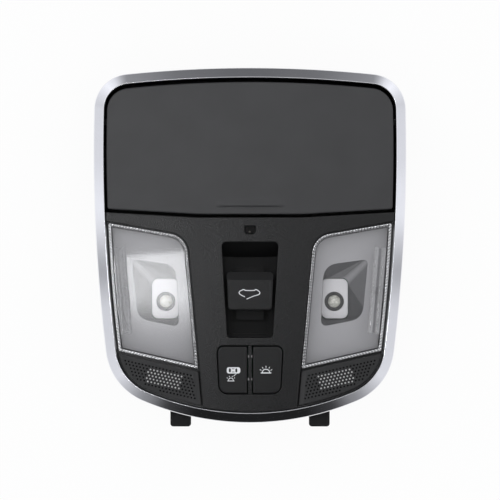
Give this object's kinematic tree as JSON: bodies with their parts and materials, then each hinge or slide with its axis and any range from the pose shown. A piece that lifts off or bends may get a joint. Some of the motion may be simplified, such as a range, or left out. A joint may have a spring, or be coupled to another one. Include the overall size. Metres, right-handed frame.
{
  "type": "car overhead console lamp",
  "caption": "Car dome light with press-to-switch map lamps, a drop-down sunglass holder, sunroof rocker, lamp buttons and pierced grilles inside a satin bezel.",
  "frame": {"origin": "centre of the four roof screw bosses, on the back plane", "axes": "+Z out of the face into the cabin, +Y towards the sunglass holder, +X to the right seen from the cabin"},
  "size_m": [0.2038, 0.234, 0.0492],
  "materials": {
    "satin_metal": "satin plated trim",
    "seal_foam": "closed-cell foam",
    "housing_black": "fine moulded texture",
    "panel_black": "fine moulded texture",
    "door_black": "fine moulded texture",
    "felt": "flocked felt",
    "steel": "plain",
    "white_plastic": "natural moulded",
    "clear_lens": "clear, knurled border",
    "reflector_grey": "satin",
    "emitter": "phosphor dome",
    "silicone": "translucent",
    "grille_black": "pierced, fine texture",
    "key_black": "soft-touch with white function marks",
    "board_green": "solder mask",
    "pin_brass": "tinned"
  },
  "bodies": {
    "root": {"bezel_trim": "satin_metal", "headliner_seal": "seal_foam", "rear_housing": "housing_black", "front_panel": "panel_black", "hinge_pin_left": "steel", "hinge_pin_right": "steel", "damper_body": "housing_black", "latch_case": "housing_black", "reflector_left": "reflector_grey", "reflector_right": "reflector_grey", "led_holder_left": "white_plastic", "led_holder_right": "white_plastic", "map_led_left": "emitter", "map_led_right": "emitter", "map_switch_left": "housing_black", "map_switch_right": "housing_black", "map_dome_left": "silicone", "map_dome_right": "silicone", "grille_left": "grille_black", "grille_right": "grille_black", "mic_screen_left": "felt", "mic_screen_right": "felt", "microphone_left": "steel", "microphone_right": "steel", "sunroof_switch_cup": "housing_black", "sunroof_switch_base": "white_plastic", "door_lamp_dome": "silicone", "room_lamp_dome": "silicone", "mood_led": "emitter", "mood_lamp_guide": "clear_lens", "circuit_board": "board_green", "board_screws": "steel", "panel_screws": "steel", "harness_connector": "white_plastic", "connector_pins": "pin_brass"},
    "holder": {"sunglass_door": "door_black", "sunglass_tray": "housing_black", "tray_liner": "felt"},
    "damper": {"damper_gear": "white_plastic"},
    "latch": {"latch_plunger": "white_plastic"},
    "left_lens": {"lens_left": "clear_lens"},
    "right_lens": {"lens_right": "clear_lens"},
    "door_button": {"door_lamp_button": "key_black"},
    "room_button": {"room_lamp_button": "key_black"},
    "sunroof_slider": {"sunroof_carriage": "housing_black"},
    "sunroof_key": {"sunroof_knob": "key_black"}
  },
  "joints": [
    {"name": "holder_hinge", "type": "hinge", "parent": "root", "child": "holder", "pos_m": [0, 0.08, 0.037], "axis": [-1, 0, 0], "range_deg": [0, 60]},
    {"name": "damper_spin", "type": "hinge", "parent": "root", "child": "damper", "pos_m": [-0.0832, 0.05489, 0.0225], "axis": [-1, 0, 0], "range_deg": [-300, 10]},
    {"name": "latch_push", "type": "slide", "parent": "root", "child": "latch", "axis": [0, 0, -1], "range_m": [0, 0.0015], "stiffness_N_per_m": 400},
    {"name": "left_lens_press", "type": "hinge", "parent": "root", "child": "left_lens", "pos_m": [-0.0329, -0.03766, 0.0431], "axis": [0.0906, -0.9959, 0], "range_deg": [0, 2], "stiffness_Nm_per_rad": 4, "deforming": ["map_dome_left"]},
    {"name": "right_lens_press", "type": "hinge", "parent": "root", "child": "right_lens", "pos_m": [0.0329, -0.03766, 0.0431], "axis": [0.0906, 0.9959, 0], "range_deg": [0, 2], "stiffness_Nm_per_rad": 4, "deforming": ["map_dome_right"]},
    {"name": "door_button_press", "type": "slide", "parent": "root", "child": "door_button", "axis": [0, 0, -1], "range_m": [0, 0.0015], "stiffness_N_per_m": 1200, "deforming": ["door_lamp_dome"]},
    {"name": "room_button_press", "type": "slide", "parent": "root", "child": "room_button", "axis": [0, 0, -1], "range_m": [0, 0.0015], "stiffness_N_per_m": 1200, "deforming": ["room_lamp_dome"]},
    {"name": "sunroof_slide", "type": "slide", "parent": "root", "child": "sunroof_slider", "axis": [0, 1, 0], "range_m": [-0.003, 0.003], "stiffness_N_per_m": 600},
    {"name": "sunroof_press", "type": "slide", "parent": "sunroof_slider", "child": "sunroof_key", "axis": [0, 0, -1], "range_m": [0, 0.0012], "stiffness_N_per_m": 1200}
  ],
  "couplings": [
    {"joint": "damper_spin", "follows": "holder_hinge", "ratio": -4.8}
  ]
}
